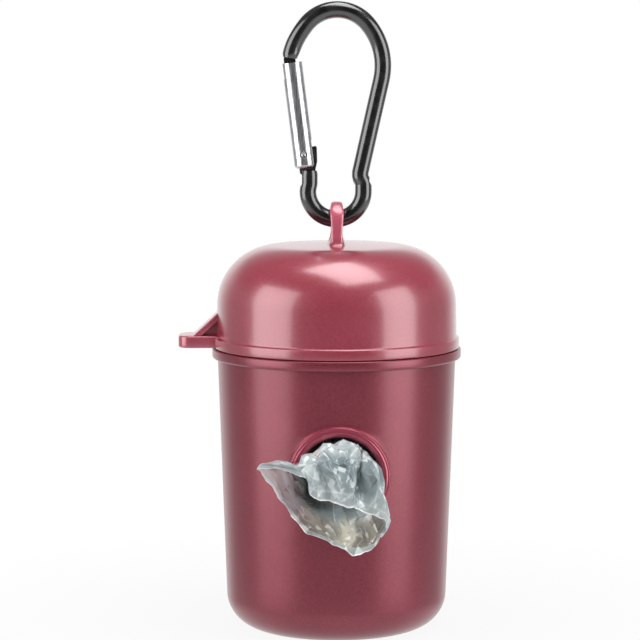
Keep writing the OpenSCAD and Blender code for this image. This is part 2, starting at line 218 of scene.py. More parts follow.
inner_rows = [(z, cup.ring(turned(wall_r(z, WALL), z))) for z in reversed(wall_rows)]
cup.bridge(rim_loops[-1], inner_rows[0][1])
floor_loops = cup.loft([turned(r, z) for r, z in arc(floor_centre, FOOT_R - WALL, -DRAFT, -90, 8)])
inner_rows.append((0, floor_loops[0]))
inner_rows.reverse()
bore_root, _ = wall_patch(cup, inner_rows, WALL, [(OUTLET_R, s) for s in (0.4, 0.75, 1)])
cup.cap(floor_loops[-1])


def outlet_ring(radius, depth):
    """A ring about the outlet's axis, all at one depth or with a depth for each point."""
    depths = np.broadcast_to(depth, len(turns))
    return [(radius * math.cos(t), -d, OUTLET_Z + radius * math.sin(t)) for t, d in zip(turns, depths)]


# the collar springs from the wall in a small fillet; a thin bead runs round its face,
# which curls over into the bore, and the bore joins the ring on the inner wall
on_wall = np.array([-cup.points[i][1] for i in collar_root])
face = arc((LIP_R - LIP_BEAD, LIP_FACE - 0.36), LIP_BEAD, 0, 125, 6)
face += arc((LIP_R - 0.8, LIP_FACE - 0.4), 0.4, 55, 95, 4)
face += arc((OUTLET_R + LIP_CURL, LIP_FACE - 1.2), LIP_CURL, 86, 180, 10) + [(OUTLET_R, 20.9)]
collar = [outlet_ring(LIP_R + 0.1, on_wall + 0.08), outlet_ring(LIP_R, on_wall + 0.3)]
collar += [outlet_ring(r, d) for r, d in face]
in_wall = [math.sqrt(wall_r(OUTLET_Z, WALL) ** 2 - (OUTLET_R * math.cos(t)) ** 2) + 0.3 for t in turns]
collar.append(outlet_ring(OUTLET_R, in_wall))
collar_loops = cup.loft(collar)
cup.bridge(collar_root, collar_loops[0])
cup.bridge(collar_loops[-1], bore_root)


def linear(colour):
    """An sRGB hex colour as linear RGBA."""
    parts = [int(colour[i : i + 2], 16) / 255 for i in (1, 3, 5)]
    return tuple(p / 12.92 if p <= 0.04045 else ((p + 0.055) / 1.055) ** 2.4 for p in parts) + (1.0,)


def plug(node, inputs):
    """Fills a node's inputs, by name, or by number where several share a name.

    Each gets a value, a hex colour, or a link from a socket or from a node's first output in use.
    """
    for name, source in inputs.items():
        if isinstance(source, bpy.types.Node):
            source = next(out for out in source.outputs if out.enabled)
        if isinstance(source, bpy.types.NodeSocket):
            node.id_data.links.new(source, node.inputs[name])
        else:
            node.inputs[name].default_value = linear(source) if isinstance(source, str) else source


def add(tree, kind, inputs=None, stops=(), **settings):
    """Adds a node with its inputs and settings; a ramp's stops are (position, hex colour or grey) pairs."""
    node = tree.nodes.new("ShaderNode" + kind)
    for name, value in settings.items():
        setattr(node, name, value)
    for position, colour in stops[1:-1]:
        node.color_ramp.elements.new(position)
    for stop, (position, colour) in zip(node.color_ramp.elements if stops else (), stops):
        stop.position = position
        stop.color = linear(colour) if isinstance(colour, str) else (colour, colour, colour, 1.0)
    plug(node, inputs or {})
    return node


def start_material(name, metallic, roughness, ior=1.5):
    """A new material: its node tree, its Principled shader and the object coordinates, in metres."""
    mat = bpy.data.materials.new(name)
    mat.use_nodes = True
    tree = mat.node_tree
    shader = tree.nodes["Principled BSDF"]
    plug(shader, {"Metallic": metallic, "Roughness": roughness, "IOR": ior})
    return mat, tree, shader, add(tree, "TexCoord").outputs["Object"]


def every(size):
    """The scale of a pattern that comes once in so many millimetres."""
    return 1 / (size * MM)


def pearl_resin(tree, place, cloud_size, cloud_share, dark, light):
    """Mica flakes in faint clouds of pigment: the flakes' pattern, and the colour of both together."""
    flakes = add(tree, "TexNoise", {
        "Vector": place, "Scale": every(FLAKE), "Detail": 3.0, "Roughness": 0.6,
    })
    clouds = add(tree, "TexNoise", {"Vector": place, "Scale": every(cloud_size), "Detail": 2.0})
    grain = add(tree, "Mix", {0: cloud_share, 2: flakes, 3: clouds}, data_type="FLOAT")
    return flakes, add(tree, "ValToRGB", {"Fac": grain}, stops=((0.3, dark), (0.7, light)))


# satin pearl polypropylene: mica flakes in the coloured resin give it a soft metallic sheen.
# It starts from plain polypropylene, and the mica takes it nearly half way to a metal.
# The real flakes are under 0.1 mm, too fine to show, so they are drawn four times as coarse;
# the pigment also lies in faint clouds about 11 mm across.
FLAKE = 0.385
cup_mat, tree, shader, place = start_material("satin_pearl_polypropylene", 0.46, 0.38)
flakes, pearl = pearl_resin(tree, place, 11.1, 0.25, "#7c2937", "#933749")
satin = add(tree, "ValToRGB", {"Fac": flakes}, stops=((0.3, 0.32), (0.7, 0.42)))
# the collar is smoother, and its colour is a little paler: a painted highlight along the collar
from_axis = add(tree, "VectorMath", {0: place, 1: (0.0, 0.0, -OUTLET_Z * MM)}, operation="ADD")
across = add(tree, "VectorMath", {0: from_axis, 1: (1.0, 0.0, 1.0)}, operation="MULTIPLY")
off_axis = add(tree, "VectorMath", {0: across}, operation="LENGTH")
in_collar = add(tree, "MapRange", {
    "Value": off_axis, "From Min": (LIP_R + 0.45) * MM, "From Max": (LIP_R + 0.05) * MM,
})
ahead = add(tree, "SeparateXYZ", {"Vector": place}).outputs["Y"]
proud = add(tree, "MapRange", {"Value": ahead, "From Min": -20.5 * MM, "From Max": -21.2 * MM})
collar_painted_highlight = add(tree, "Math", {0: in_collar, 1: proud}, operation="MULTIPLY")
bump = add(tree, "Bump", {"Height": flakes, "Strength": 0.12, "Distance": 0.05 * MM})
plug(shader, {
    "Base Color": add(tree, "Mix", {0: collar_painted_highlight, 6: pearl, 7: "#ab4459"}, data_type="RGBA"),
    "Roughness": add(tree, "Mix", {0: collar_painted_highlight, 2: satin, 3: 0.2}, data_type="FLOAT"),
    "Normal": bump, "Coat Weight": 0.65, "Coat Roughness": 0.25,
})
container = cup.piece("container_cup", cup_mat)
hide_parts("container")
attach(container, "container")

# ------------------------------------------------------------------ Roll core
# A short tube wound from strips of grey card, which the bags are rolled on.
# Its own CAD node is shown.

# wound grey card: matt and fibrous, with the slanting seams where its strips meet, 10.7 mm
# apart; the real fibres are too fine to show and are drawn 0.55 mm apart
WAVE = math.pi / 10  # a wave pattern's spacing at scale 1; a diagonal one is 2/sqrt(3) times as wide
card, tree, shader, place = start_material("wound_grey_card", 0.0, 0.85)
fibres = add(tree, "TexNoise", {"Vector": place, "Scale": every(0.555), "Detail": 4.0})
seams = add(tree, "TexWave", {
    "Vector": place, "Scale": every(10.7) * WAVE * 2 / math.sqrt(3), "Distortion": 1.0,
}, bands_direction="DIAGONAL").outputs["Fac"]
tone = add(tree, "Mix", {0: 0.3, 2: fibres, 3: seams}, data_type="FLOAT")
plug(shader, {
    "Base Color": add(tree, "ValToRGB", {"Fac": tone}, stops=((0.25, "#8d7f6b"), (0.75, "#b7a88f"))),
    "Normal": add(tree, "Bump", {"Height": tone, "Strength": 0.4, "Distance": 0.1 * MM}),
})
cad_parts["roll_core"].material_slots[0].material = card

# ------------------------------------------------------------------ Bag roll
# Flattened polyethylene bags, folded to 60 mm and wound in a long spiral on the core.
# The ends show the film's layers, a little out of line with each other.
(_, _, ROLL_Z), (ROLL_R, _, ROLL_TOP) = solid_box("bag_roll")
ROLL_H, CORE_R = ROLL_TOP - ROLL_Z, solid_box("roll_core")[1][0] + 0.02
LAYERS, SIDE_ROWS = 26, 25  # rings drawn on each end, and up the side
rng = np.random.default_rng(7)


def wound(radius, height, offset, columns=144):
    """A level ring of the roll, out of round by up to 0.2 mm in three and seven lobes."""
    points = []
    for j in range(columns):
        t = 2 * math.pi * j / columns
        three, seven = 1 + math.sin(3 * t + offset), 1 + math.sin(7 * t + 2.1 * offset)
        r = radius * (1 - 0.004 * three - 0.003 * seven)
        points.append((r * math.sin(t), -r * math.cos(t), height))
    return points


def end_rings(layers, face, inward):
    """The film's edges on one end of the roll, where every other layer stands back a little."""
    for i in layers:
        radius = CORE_R + (ROLL_R - 0.15 - CORE_R) * i / (LAYERS - 1)
        sink = 0.0 if i % 2 else 0.25 + 0.25 * rng.random()
        yield wound(radius, face + inward * sink, 0.4 * i)


roll = Shell()
rings = list(end_rings(range(LAYERS), ROLL_Z, 1))
for i in range(SIDE_ROWS):
    height = ROLL_Z + 0.4 + (ROLL_H - 0.8) * i / (SIDE_ROWS - 1)
    rings.append(wound(ROLL_R - 0.02 - 0.05 * rng.random(), height, 0.05 * i))
rings += end_rings(reversed(range(LAYERS)), ROLL_TOP, -1)
loops = roll.loft(rings)
roll.bridge(loops[-1], loops[0])

# low density polyethylene film, wound tight: dull grey with a soft shine along the layers.
# Its stretch marks are 2.4 mm apart and 40 mm long.
wound_mat, tree, shader, place = start_material("wound_polyethylene_film", 0.0, 0.38)
stretch = add(tree, "Mapping", {"Vector": place, "Scale": (1.0, 1.0, 0.06)})
streaks = add(tree, "TexNoise", {"Vector": stretch, "Scale": every(2.38), "Detail": 5.0})
plug(shader, {
    "Base Color": add(tree, "ValToRGB", {"Fac": streaks}, stops=((0.3, "#8f9a99"), (0.7, "#bcc6c4"))),
    "Normal": add(tree, "Bump", {"Height": streaks, "Strength": 0.5, "Distance": 0.3 * MM}),
})
bag_roll = roll.piece("bag_roll_wound", wound_mat, sharp=50)
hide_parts("bag_roll")
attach(bag_roll, "roll")

# ------------------------------------------------------------------ Leading bag
# The open end of the first bag, gathered through the outlet: one thin sheet of grey film.
# The upper layer bulges over the mouth in sharp crinkles; the lower one hangs as a hem.

# sixteen control points round each ring: left fold, over the top, right fold, and back along
# the bottom; x and z are taken from the outlet's axis
RING_ANGLES = [180, 165, 150, 133, 112, 90, 66, 42, 18, -6, -34, -62, -90, -118, -142, -162]
STEPS_ROUND, STEPS_ALONG = 16, 14  # mesh steps between control points


def round_ring(radius, depth, wide=1.0, tall=1.0):
    """A plain oval ring of control points, at one depth."""
    turns = [math.radians(a) for a in RING_ANGLES]
    return [(radius * wide * math.cos(t), -depth, radius * tall * math.sin(t)) for t in turns]


in_roll = round_ring(7.6, 15.55, wide=1.1, tall=1.5)
in_bore, at_lip = round_ring(6.5, 17.6), round_ring(6.7, 21.6)
# the lower layer is gathered up in the middle of the bore, and leaves a pocket at the left:
# for each control point, its height in the bore and at the lip
gathered_up = {9: (-1.4, -2.0), 10: (-2.8, -3.6), 11: (-3.2, -4.3), 12: (-3.4, -4.5), 13: (-4.0, -5.0)}
for i, heights in gathered_up.items():
    for ring, z in zip((in_bore, at_lip), heights):
        ring[i] = (*ring[i][:2], z)
over_lip = [
    (-10.4, -24.0, 3.1), (-8.9, -24.3, 3.1), (-7.2, -24.8, 3.2), (-5.3, -25.2, 4.8),
    (-3.0, -25.4, 5.9), (0.0, -25.3, 6.6), (2.9, -25.2, 6.2), (4.0, -22.6, 5.3),
    (6.7, -24.6, 2.9), (8.2, -24.4, -0.4), (7.6, -23.9, -4.4), (4.6, -23.7, -6.4),
    (0.6, -23.6, -7.0), (-3.6, -23.6, -6.0), (-6.9, -23.6, -3.6), (-9.0, -23.8, 0.2),
]
bulge = [
    (-13.2, -24.6, 3.1), (-10.6, -25.2, 3.1), (-7.8, -26.2, 2.9), (-6.6, -28.2, 3.9),
    (-3.8, -29.3, 4.3), (-0.8, -29.7, 4.1), (2.6, -29.4, 3.6), (3.6, -24.4, 3.0),
    (7.0, -27.2, 0.6), (9.1, -26.0, -3.8), (8.4, -25.0, -8.0), (5.2, -24.5, -10.0),
    (1.0, -24.2, -10.0), (-3.6, -24.0, -8.2), (-8.2, -24.0, -4.8), (-11.0, -24.1, -0.2),
]
tuck = [
    (-14.4, -24.7, 2.9), (-11.2, -25.3, 2.8), (-7.8, -26.4, 2.3), (-6.2, -28.6, 1.5),
    (-4.4, -28.8, 0.4), (-1.3, -28.9, 0.2), (2.3, -29.6, 0.4), (3.3, -25.6, -1.8),
    (6.9, -27.6, -3.4), (9.0, -26.4, -5.8), (7.9, -25.5, -9.2), (4.6, -25.0, -11.5),
    (0.2, -24.7, -10.8), (-4.9, -24.5, -8.6), (-8.8, -24.4, -5.2), (-11.8, -24.4, -0.5),
]
mouth = [
    (-14.9, -24.7, 2.1), (-11.6, -25.4, 2.3), (-7.9, -26.5, 1.4), (-5.6, -28.0, 0.1),
    (-4.6, -28.6, -2.3), (-1.8, -28.9, -3.2), (1.5, -28.8, -3.8), (3.0, -27.2, -4.9),
    (6.3, -27.2, -6.0), (8.3, -26.6, -7.6), (7.6, -26.0, -10.2), (4.1, -25.5, -13.3),
    (-0.5, -25.2, -12.0), (-6.0, -25.0, -9.0), (-9.7, -24.8, -5.2), (-12.4, -24.7, -0.6),
]


def spline(points, steps, closed):
    """Catmull-Rom through the points along the first axis, steps to a span."""
    count = len(points)
    result = []
    for i in range(count if closed else count - 1):
        four = [i + k for k in (-1, 0, 1, 2)]
        p, q, r, s = (points[k % count if closed else min(max(k, 0), count - 1)] for k in four)
        for step in range(steps):
            t = step / steps
            straight, bent = 2 * q + (r - p) * t, (2 * p - 5 * q + 4 * r - s) * t**2
            result.append(0.5 * (straight + bent + (3 * q - p - 3 * r + s) * t**3))
    if not closed:
        result.append(points[-1])
    return np.array(result)


def zigzag(phase):
    """A triangle wave between -1 and 1, once in each whole number."""
    return np.abs(phase % 1 - 0.5) * 4 - 1


def push(amount):
    """The film, with each point moved so many millimetres along the smooth film's normal."""
    return film + normal * amount[:, :, None]


controls = np.array([in_roll, in_bore, at_lip, over_lip, bulge, tuck, mouth])
lengthways = spline(controls, STEPS_ALONG, closed=False)
film = np.array([spline(ring, STEPS_ROUND, closed=True) for ring in lengthways])
rows, cols = film.shape[:2]
turn = np.arange(cols) / STEPS_ROUND  # 0 to 16 round the film, in control points
row = np.arange(rows)  # from the roll to the mouth's edge: the lip is at 28, and the bulge at 56
down = np.gradient(film, axis=0)
sideways = (np.roll(film, -1, axis=1) - np.roll(film, 1, axis=1)) / 2
normal = np.cross(down, sideways)
normal /= np.maximum(np.linalg.norm(normal, axis=2, keepdims=True), 1e-9)
# creases: triangle waves in scattered directions fold the film. Each has a width in
# millimetres and a share of it as depth; the flap and the right fold stay smoother
FOLDS = (
    (8.2, 0.1), (6.6, 0.11), (5.3, 0.13), (4.3, 0.12), (3.4, 0.1), (2.6, 0.07), (3.2, 0.12), (2.4, 0.1),
)
FOLD_DEPTH = 1.15
rng = np.random.default_rng(12)
height = np.zeros((rows, cols))
for width, share in FOLDS:
    way = rng.normal(size=3)
    way /= np.linalg.norm(way)
    height += FOLD_DEPTH * width * share * zigzag(film @ way / width + rng.random())
crumpled = np.interp(
    turn, (0, 1.8, 2.8, 5.8, 6.6, 8.0, 10.0, 13.0, 16), (0.12, 0.25, 1, 1, 0.6, 0.5, 0.5, 0.42, 0.15)
)
setting_in = np.interp(row, (0, 36, 50, rows - 24, rows - 12, rows), (0.1, 0.12, 1, 1, 0.45, 0.4))
film = push(height * crumpled * setting_in[:, None])
# pleats run down the lower layer to its hem
PLEAT, NECK_PLEAT = 0.35, 0.26  # half their depth
pleats = np.interp(turn, (9.0, 9.8, 12.6, 13.4), (0, 1, 1, 0)) * zigzag(turn * 1.15)
falling = np.interp(row, (0, 50, 66, rows), (0, 0, 1, 0.6))
film = push(PLEAT * pleats * falling[:, None])
# the neck in the bore is gathered into thirteen lengthwise pleats of uneven width
gathers = zigzag(turn * 13 / 16 + 0.2 * np.sin(turn)) * NECK_PLEAT
in_neck = np.interp(row, (0, 10, 34, 46), (0.2, 1, 1, 0))
film = push(gathers * in_neck[:, None])
# the hem's edge runs unevenly
NOTCHES = ((0.55, 0.3), (1.3, 0.22), (2.7, 0.08))  # how many to a control point, and their depth
ragged = sum(depth * zigzag(turn * rate + rng.random()) for rate, depth in NOTCHES)
ragged *= np.interp(turn, (0, 1, 2, 8, 9, 16), (1, 0.5, 0.35, 0.35, 1, 1))
at_edge = np.interp(row, (0, rows - 12, rows), (0, 0, 1))
edge_way = down / np.maximum(np.linalg.norm(down, axis=2, keepdims=True), 1e-9)
film += edge_way * (ragged * at_edge[:, None])[:, :, None]
film[:, :, 2] += OUTLET_Z

sheet = Shell()
sheet.loft(film)

# thin polyethylene film: milky and thin enough to see through, with sharp glints. It starts
# from an IOR of 1.5, raised for the gloss of its many small folds. It is denser where it is
# gathered in layers, and white along its hem; its sharpest ridges get a painted highlight, and
# its hollows, sharp fold and bore a painted shade. Its haze lies in patches 7.7 mm across.
film_mat, tree, shader, place = start_material("thin_polyethylene_film", 0.0, 0.25, 1.8)
haze = add(tree, "TexNoise", {"Vector": place, "Scale": every(7.7), "Detail": 2.0})
round_film, along_film, density, inner_side, ridge, hollow = (
    split.outputs[axis]
    for split in [
        add(tree, "SeparateXYZ", {"Vector": add(tree, "UVMap", uv_map=name)})
        for name in ("film", "layers", "creases")
    ]
    for axis in "XY"
)
pale = add(tree, "ValToRGB", {"Fac": haze}, stops=((0.32, "#7c8e94"), (0.68, "#dae3e2")))
# painted light and shade inside the mouth, from its right side to its left: grey where layers lie over each
# other and less light reaches, and a cream pane where a single layer is lit through
mouth_painted_light = add(tree, "ValToRGB", {"Fac": round_film}, stops=(
    (0.6, "#a9bdc0"), (0.635, "#a5b2b0"), (0.645, "#929284"), (0.718, "#a0a091"), (0.724, "#f2f0dc"),
    (0.757, "#e6e4d0"), (0.763, "#a9aa9b"), (0.85, "#969789"), (0.875, "#8c979c"),
))
tone = add(tree, "Mix", {0: inner_side, 6: pale, 7: mouth_painted_light}, data_type="RGBA")
# painted shade: the film is painted darker towards the bore, where little light reaches, and the shade
# starts further out at the pocket
pocket = add(tree, "MapRange", {"Value": round_film, "From Min": 0.79, "From Max": 0.85, "To Max": 0.13})
outwards = add(tree, "Math", {0: along_film, 1: pocket}, operation="SUBTRACT")
bore_painted_shade = add(tree, "ValToRGB", {"Fac": outwards}, stops=((0.34, "#cdc6bf"), (0.45, "#ffffff")))
tone = add(tree, "Mix", {0: 1.0, 6: tone, 7: bore_painted_shade}, data_type="RGBA", blend_type="MULTIPLY")
# painted shade: the sharp fold beside the bulge is painted dark, and so are the hollows between the
# crumples
fold_way = add(tree, "ValToRGB", {"Fac": round_film}, stops=(
    (0.421, 0.0), (0.4345, 1.0), (0.4405, 1.0), (0.452, 0.0),
))
fold_run = add(tree, "ValToRGB", {"Fac": along_film}, stops=(
    (0.42, 0.0), (0.5, 1.0), (0.74, 1.0), (0.86, 0.0),
))
fold_painted_shade = add(tree, "Math", {0: fold_way, 1: fold_run}, operation="MULTIPLY")
tone = add(tree, "Mix", {0: fold_painted_shade, 6: tone, 7: "#3c4648"}, data_type="RGBA")
# painted shade in the hollows of the crumples
hollow_painted_shade = add(tree, "ValToRGB", {"Fac": hollow}, stops=((0.75, 0.0), (0.98, 0.5)))
tone = add(tree, "Mix", {0: hollow_painted_shade, 6: tone, 7: "#56605f"}, data_type="RGBA")
# the welded hem is a paler double layer
weld_run = add(tree, "ValToRGB", {"Fac": along_film}, stops=((0.895, 0.0), (0.905, 0.5)))
weld_way = add(tree, "ValToRGB", {"Fac": round_film}, stops=(
    (0.12, 1.0), (0.2, 0.15), (0.52, 0.15), (0.6, 1.0),
))
welded = add(tree, "Math", {0: weld_way, 1: weld_run}, operation="MULTIPLY")
tone = add(tree, "Mix", {0: welded, 6: tone, 7: "#c9dce0"}, data_type="RGBA")
# a painted highlight whitens the sharpest crease ridges, and the hem's edge is white
ridge_painted_highlight = add(tree, "ValToRGB", {"Fac": ridge}, stops=((0.86, 0.0), (0.98, 0.65)))
hem = add(tree, "ValToRGB", {"Fac": along_film}, stops=(
    (0.0, 0.0), (0.885, 0.0), (0.9, 0.35), (0.915, 0.0), (0.975, 0.0), (0.99, 1.0),
))
whiter = add(tree, "Math", {0: ridge_painted_highlight, 1: hem}, operation="MAXIMUM")
doubled = add(tree, "ValToRGB", {"Fac": along_film}, stops=((0.895, 0.0), (0.9, 0.8)))
dense = add(tree, "Math", {0: density, 1: doubled}, operation="MAXIMUM")
plug(shader, {
    "Base Color": add(tree, "Mix", {0: whiter, 6: tone, 7: "#f1f6f5"}, data_type="RGBA"),
    "Alpha": add(tree, "Math", {0: dense, 1: whiter}, operation="MAXIMUM"),
    "Coat Weight": 1.0, "Coat Roughness": 0.2,
})


def applied(obj):
    """Applies the object's modifiers."""
    ready = obj.evaluated_get(bpy.context.evaluated_depsgraph_get())
    mesh = bpy.data.meshes.new_from_object(ready)
    obj.modifiers.clear()
    obj.data = mesh


bag = sheet.piece("bag_film_mouth", film_mat, sharp=180)
opacity = np.interp(
    turn, (0, 1.6, 2.4, 9.2, 10.2, 12.5, 13.5, 16), (0.62, 0.72, 0.94, 0.94, 0.9, 0.88, 0.7, 0.62)
)
inside_mouth = np.interp(turn, (9.2, 9.6, 13.8, 14.6), (0, 1, 1, 0))
where, layers = bag.data.uv_layers.new(name="film"), bag.data.uv_layers.new(name="layers")
for corner in bag.data.loops:
    i, j = divmod(corner.vertex_index, cols)
    where.data[corner.index].uv = (j / cols, i / (rows - 1))
    layers.data[corner.index].uv = (opacity[j], inside_mouth[j] * min(1, max(0, (i - 40) / 10)))
# thinned to about this many triangles, the film keeps flat facets between sharp edges
FACETS = 3000
thin = bag.modifiers.new("facets", "DECIMATE")
thin.ratio = FACETS / (2 * rows * cols)
applied(bag)
# each facet notes its sharpest edge, as a ridge or a hollow, for the painted highlight on ridges and the
# painted shade in hollows; where the mesh is rounded next, edges that fold stay crisp and the rest are half
# rounded
SOFT_FOLD, SHARP_FOLD, CRISP = math.radians(7), math.radians(22), math.radians(14)
bag.data.uv_layers.new(name="creases")
creased = bmesh.new()
creased.from_mesh(bag.data)
sharpness = creased.edges.layers.float.new("crease_edge")
marks = creased.loops.layers.uv["creases"]
for edge in creased.edges:
    edge[sharpness] = 1.0 if abs(edge.calc_face_angle_signed(0)) > SOFT_FOLD else 0.5
for face in creased.faces:
    sharpest = max(face.edges, key=lambda e: abs(e.calc_face_angle_signed(0)))
    fold = sharpest.calc_face_angle_signed(0)
    if abs(fold) > SHARP_FOLD:
        for corner in face.loops:
            on_line = 1.0 if corner.vert in sharpest.verts else 0.0
            corner[marks].uv = (on_line, 0.0) if fold > 0 else (0.0, on_line)
creased.to_mesh(bag.data)
creased.free()
soft = bag.modifiers.new("soft_edges", "SUBSURF")
soft.levels, soft.uv_smooth = 2, "NONE"
applied(bag)
bag.data.shade_smooth()
bag.data.set_sharp_from_angle(angle=CRISP)
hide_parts("bag_tail")
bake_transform(bag)

# ------------------------------------------------------------------ Lid
# The dome: the same pearl plastic moulded glossier, with a skirt round its lower edge.
# The thumb tab with its brace and the hanging eye are moulded on in one piece.
(tab_x, _, LID_LOW), (_, _, EYE_TOP) = solid_box("lid")
LID_IN_R, LID_WALL, LID_ROUND = 21.469, 1.1, 0.2
SKIRT_R, SKIRT_TOP, SKIRT_ROUND, DOME_R, DOME_DRAFT = 23.019, 55.1, 0.45, 22.569, 1.3
SHOULDER, SHOULDER_R = (11.2275, 60.947), 11.2
CROWN_R, CROWN_TOP = 260, 72.4
# the shoulder's round meets the crown's shallow one at this angle off the axis
crown_edge = math.degrees(math.asin(SHOULDER[0] / (CROWN_R - SHOULDER_R)))
dome = Shell()
outside = [(LID_IN_R, 53.3)] + arc((LID_IN_R + 0.25, LID_LOW + 0.25), 0.25, 180, 270, 3)
outside += arc((SKIRT_R - LID_ROUND, LID_LOW + LID_ROUND), LID_ROUND, -90, 0, 4)
outside += arc((SKIRT_R - SKIRT_ROUND, SKIRT_TOP - SKIRT_ROUND), SKIRT_ROUND, 0, 84, 4)
outside += [(22.6, 55.14), (22.57, 55.2), (22.555, 55.4)]
outside += [(DOME_R - (z - SKIRT_TOP) * math.tan(math.radians(DOME_DRAFT)), z) for z in (56.5, 58.0, 59.6)]
outside += arc(SHOULDER, SHOULDER_R, DOME_DRAFT, 90 - crown_edge, 28)
outside += arc((0, CROWN_TOP - CROWN_R), CROWN_R, 90 - 2.2, 90 - 0.2, 5)
inside = [(0.4, 71.3), (5.0, 71.25)] + arc(SHOULDER, SHOULDER_R - LID_WALL, 90 - crown_edge, DOME_DRAFT, 14)
inside += [(21.42, 58.2), (21.42, 57.6), (LID_IN_R, 57.5)]
outer_loops = dome.loft([turned(r, z) for r, z in outside])
dome.cap(outer_loops[-1])
inner_loops = dome.loft([turned(r, z) for r, z in inside])
dome.cap(inner_loops[0])
dome.bridge(inner_loops[-1], outer_loops[0])


def slab(shell, outline, low, high, edge, place_point):
    """A plate over a flat outline, its edges rounded; place_point turns (u, v, w) into a point."""
    points = np.array(outline, dtype=float)
    sides = np.roll(points, -1, axis=0) - points
    out = np.stack([sides[:, 1], -sides[:, 0]], axis=1)
    out /= np.linalg.norm(out, axis=1, keepdims=True)
    mitre = out + np.roll(out, 1, axis=0)
    mitre /= (mitre * out).sum(axis=1, keepdims=True)
    rounding = (0, 0.4, 0.8, 1.2, math.pi / 2)
    low_side = [(edge * (1 - math.sin(t)), low + edge * (1 - math.cos(t))) for t in rounding]
    high_side = [(inset, high - (w - low)) for inset, w in reversed(low_side)]
    rings = [[place_point(u, v, w) for u, v in points - mitre * inset] for inset, w in low_side + high_side]
    shell.loft(rings, caps=True)


TAB_END, TAB_W, TAB_CORNER = -tab_x, 7.4, 2.2
tab = [(21.9, -TAB_W / 2 - 0.5), (23.2, -TAB_W / 2)]
tab += arc((TAB_END - TAB_CORNER, -TAB_W / 2 + TAB_CORNER), TAB_CORNER, -90, 0, 8)
tab += arc((TAB_END - TAB_CORNER, TAB_W / 2 - TAB_CORNER), TAB_CORNER, 0, 90, 8)
tab += [(23.2, TAB_W / 2), (21.9, TAB_W / 2 + 0.5)]
slab(dome, tab, 53.1, 55.35, 0.35, lambda u, v, w: (-u, v, w))
# the brace is a sloping plate on a thinner web; both run into the dome's wall
BRACE_FOOT, BRACE_TOP, BRACE_THICK, IN_DOME = (27.069, 55.2), (22.827, 59.13), 1.15, 21.8
brace_lean = math.atan2(BRACE_TOP[1] - BRACE_FOOT[1], BRACE_FOOT[0] - BRACE_TOP[0])
run_up = (BRACE_TOP[0] - IN_DOME) * math.tan(brace_lean)
plate = [
    BRACE_FOOT, BRACE_TOP, (IN_DOME, BRACE_TOP[1] + run_up),
    (IN_DOME, BRACE_TOP[1] + run_up - BRACE_THICK / math.cos(brace_lean)),
    (BRACE_FOOT[0] - BRACE_THICK / math.sin(brace_lean), BRACE_FOOT[1]),
]
slab(dome, plate, -2.9, 2.9, 0.25, lambda u, v, w: (-u, w, v))
web = [
    (BRACE_FOOT[0] - 0.6, BRACE_FOOT[1]), (BRACE_TOP[0] - 0.2, BRACE_TOP[1] - 0.5),
    (IN_DOME, BRACE_TOP[1] - 0.4), (IN_DOME, BRACE_FOOT[1]),
]
slab(dome, web, -1.9, 1.9, 0.2, lambda u, v, w: (-u, w, v))

# the eye is a strap whose width changes up its legs and flares at the crown; its inner and
# outer edges are (y, z) points, and half_widths gives half its width at a height
EYE_R, EYE_STRAP = 2.6, 1.3
EYE_Z = EYE_TOP - EYE_R - EYE_STRAP
inner_path = arc((0, 75.4), EYE_R, -90, 0, 8) + [(EYE_R, 75.9)] + arc((0, EYE_Z), EYE_R, 0, 90, 10)
outer_path = [(0, 71.6), (1.3, 71.6), (2.6, 71.6), (3.6, 71.6), (4.9, 71.75), (4.6, 72.15), (4.2, 72.6)]
outer_path += [(4.0, 73.2), (3.92, 74.2), (3.9, 75.9)] + arc((0, EYE_Z), EYE_R + EYE_STRAP, 0, 90, 10)
half_widths = (
    (71.6, 1.9), (72.4, 1.55), (73.0, 1.26), (74.2, 1.05), (75.7, 1.06), (77.0, 1.2), (78.3, 1.33),
    (79.4, 1.12), (80.4, 1.0),
)
inner_path += [(-y, z) for y, z in reversed(inner_path[1:-1])]
outer_path += [(-y, z) for y, z in reversed(outer_path[1:-1])]
strap = []
for (y0, z0), (y1, z1) in zip(inner_path, outer_path):
    in_crown = abs(y1) <= 1.5 and z1 <= 75
    half = np.interp(72.0 if in_crown else (z0 + z1) / 2, *zip(*half_widths))
    middle, reach = np.array([(y0 + y1) / 2, (z0 + z1) / 2]), np.array([(y1 - y0) / 2, (z1 - z0) / 2])
    ring = []
    for k in range(20):
        c, s = math.cos(2 * math.pi * k / 20), math.sin(2 * math.pi * k / 20)
        square = (abs(c) ** 4 + abs(s) ** 4) ** -0.25  # takes the circle out to a rounded square
        at = middle + reach * c * square
        ring.append((half * s * square, at[0], at[1]))
    strap.append(ring)
loops = dome.loft(strap)
dome.bridge(loops[-1], loops[0])

# glossy pearl polypropylene: the same flakes under a smooth moulded skin with a faint ripple,
# so it shines where the cup is satin. It starts from plain polypropylene, and its IOR is raised
# for the flakes that shine through the skin. The clouds are 8 mm across and the ripple 4 mm.
lid_mat, tree, shader, place = start_material("glossy_pearl_polypropylene", 0.15, 0.3, 1.8)
flakes, pearl = pearl_resin(tree, place, 8.33, 0.3, "#94303f", "#aa4154")
